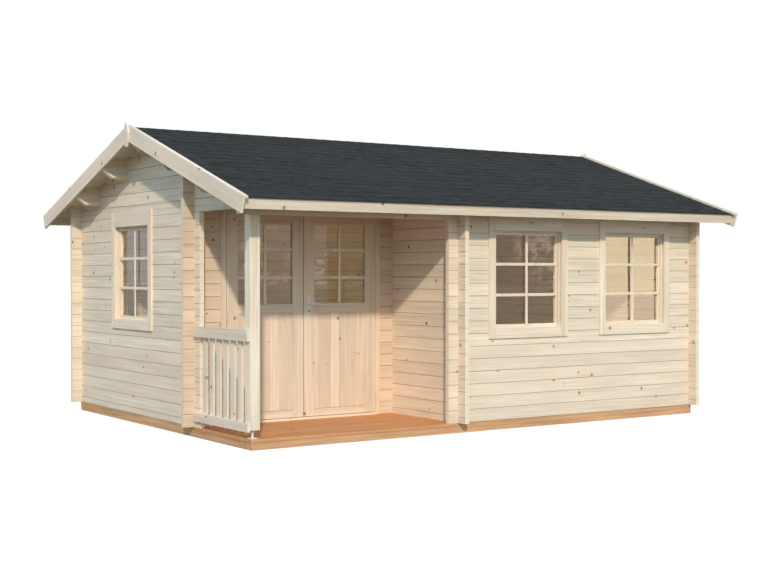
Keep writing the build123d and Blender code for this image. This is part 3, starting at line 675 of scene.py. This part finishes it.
def roofPlanks(front):
    low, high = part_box("roof_boards_front")
    form = bmesh.new()
    start = -low.y / math.cos(roofFall) - plank["thickness"] * math.tan(roofFall)
    while start > -plank["width"]:
        end = start - plank["width"]
        addBlock(form, (low.x, end, -plank["thickness"]), (high.x, start, 0.0), plank["bevel"])
        start = end
    drop = Matrix.Translation((0.0, 0.0, high.z - coverTop))
    bmesh.ops.transform(form, matrix=drop @ slopePlace(front), verts=form.verts)
    away = 1.0 if front else -1.0
    cut = bmesh.ops.bisect_plane(form, geom=form.verts[:] + form.edges[:] + form.faces[:], clear_outer=True,
                                 plane_co=(0.0, -away * plank["mitre"], 0.0), plane_no=(0.0, away, 0.0))
    rim = [part for part in cut["geom_cut"] if isinstance(part, bmesh.types.BMEdge)]
    bmesh.ops.holes_fill(form, edges=rim)
    return form


plankPitch = plank["width"] * math.cos(roofFall)
plankWood = woodMaterial("soffitWood", spruce, "x", "y", plankPitch, plank["firstSeam"])
for side in ("front", "back"):
    form = roofPlanks(side == "front")
    planks = finishPiece("roof_planks_" + side, form, plankWood, "cabin")
    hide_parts("roof_boards_" + side)
print("roof planks done")


ground = {"size": 120.0, "seen": rgb(0.86, 0.86, 0.85), "dull": rgb(0.20, 0.17, 0.13), "glow": 1.12,
          "share": 0.8}
# a glowing card that lights nothing and shows only as a painted reflection
card = {"place": (11.2, -11.1, 2.2), "turn": 44.0, "size": (2.6, 0.02, 4.6, 1.0), "strength": 7.5,
        "low": rgb(0.55, 0.45, 0.34), "high": rgb(0.80, 0.66, 0.42), "change": (0.85, 1.15)}


def seenRay(path, tree):  # 1 for what the camera sees, also through glass
    return tree.math("MAXIMUM", path["Is Camera Ray"], path["Is Transmission Ray"])


def groundMaterial():  # white to the camera apart from the shadow, dull in the light it throws back
    tree = Tree("paleGround")
    seen = seenRay(tree.nodes.new("ShaderNodeLightPath").outputs, tree)
    tree.set(Base_Color=tree.mix(seen, ground["dull"], ground["seen"]), Roughness=0.9, Specular_IOR_Level=0.1)
    glow = tree.add("ShaderNodeEmission", {0: rgb(1.0, 1.0, 1.0), 1: ground["glow"]})
    tree.show(tree.math("MULTIPLY", seen, ground["share"]), tree.shader, glow)
    return tree.material


def reflectionCardMaterial():  # a warm glowing card, no lamp, seen only in glossy rays: a painted reflection in the glass and metal
    tree = Tree("paintedReflectionCard")
    height = tree.range(tree.split(tree.place)[2], *card["change"], kind="SMOOTHSTEP")
    warm = tree.mix(height, card["low"], card["high"])
    glow = tree.add("ShaderNodeEmission", {0: warm, 1: card["strength"]})
    shiny = tree.nodes.new("ShaderNodeLightPath").outputs["Is Glossy Ray"]
    tree.show(shiny, tree.nodes.new("ShaderNodeBsdfTransparent"), glow)
    return tree.material


def stage():
    form = bmesh.new()
    bmesh.ops.create_grid(form, x_segments=1, y_segments=1, size=ground["size"])
    addObject("ground", form, groundMaterial())
    form = bmesh.new()
    place = Matrix.Translation(card["place"]) @ Matrix.Rotation(math.radians(card["turn"]), 4, "Z")
    bmesh.ops.create_cube(form, size=1.0, matrix=place @ Matrix.Diagonal(card["size"]))
    addObject("painted_reflection_card", form, reflectionCardMaterial())


sky = {"horizon": rgb(0.71, 0.95, 1.15), "front": rgb(1.02, 1.24, 1.36), "behind": rgb(1.35, 1.25, 1.12),
       "zenith": rgb(0.45, 0.70, 0.98)}
mirrored = {"front": rgb(0.16, 0.14, 0.12), "back": rgb(0.85, 0.88, 0.9), "spots": rgb(2.6, 2.2, 1.7)}
sunlight = {"energy": 2.55, "angle": 2.0, "colour": (1.0, 0.875, 0.75), "way": (1.0, 1.72, -1.17)}
roomLight = {"energy": 12.0, "size": 0.5, "colour": (1.0, 0.86, 0.70), "place": (0.3, 0.3, 1.9)}


def skyLight(tree, x, y, z):  # cooler to the left of the cabin, warmer behind it
    low = tree.mix(tree.range(y, -0.2, -0.85), sky["horizon"], sky["front"])
    low = tree.mix(tree.range(tree.math("ADD", x, y), 0.2, 1.2), low, sky["behind"])
    return tree.mix(tree.range(z, 0.0, 0.7), low, sky["zenith"])


def mirroredSky(tree, x, y):  # what glass and metal show: dark in front, with loose bright spots
    behind = tree.range(tree.math("SUBTRACT", y, x), -0.4, 1.0, kind="SMOOTHSTEP")
    mirror = tree.mix(behind, mirrored["front"], mirrored["back"])
    spots = tree.math("MULTIPLY", tree.range(tree.noise(tree.direction, 190.0, 2.0), 0.5, 0.6),
                      tree.range(tree.noise(tree.direction, 26.0, 2.0), 0.42, 0.55))
    spots = tree.math("MULTIPLY", spots, tree.range(behind, 0.0, 0.3, 1.0, 0.0))
    return tree.mix(spots, mirror, mirrored["spots"])


def world():
    scene.world = bpy.data.worlds.new("studio")
    tree = Tree("studio", scene.world)
    x, y, z = tree.split(tree.direction)
    path = tree.nodes.new("ShaderNodeLightPath").outputs
    colour = tree.mix(path["Is Glossy Ray"], skyLight(tree, x, y, z), mirroredSky(tree, x, y))
    colour = tree.mix(seenRay(path, tree), colour, rgb(1.0, 1.0, 1.0))
    tree.links.new(colour, tree.nodes["Background"].inputs[0])


def addLamp(name, kind, settings):
    data = bpy.data.lights.new(name, kind)
    data.energy = settings["energy"]
    data.color = settings["colour"]
    lamp = bpy.data.objects.new(name, data)
    scene.collection.objects.link(lamp)
    return lamp


def lamps():
    sun = addLamp("sun", "SUN", sunlight)
    sun.data.angle = math.radians(sunlight["angle"])
    sun.rotation_euler = Vector(sunlight["way"]).to_track_quat("-Z", "Y").to_euler()
    room = addLamp("roomLamp", "POINT", roomLight)
    room.data.shadow_soft_size = roomLight["size"]
    room.location = roomLight["place"]
    room.visible_camera = room.visible_glossy = room.visible_transmission = False


photoView = {"lens": 61.15, "sensor": 36.0, "place": (-7.5195, -11.2422, 1.4497),
             "turn": (89.284, 0.0, -33.8467)}


def camera():
    data = bpy.data.cameras.new("photoView")
    data.lens = photoView["lens"]
    data.sensor_width = photoView["sensor"]
    view = bpy.data.objects.new("photoView", data)
    view.location = photoView["place"]
    view.rotation_euler = [math.radians(angle) for angle in photoView["turn"]]
    scene.collection.objects.link(view)
    scene.camera = view


stage()
world()
lamps()
camera()
scene.view_settings.view_transform = "Standard"
print("floor, light and camera done")
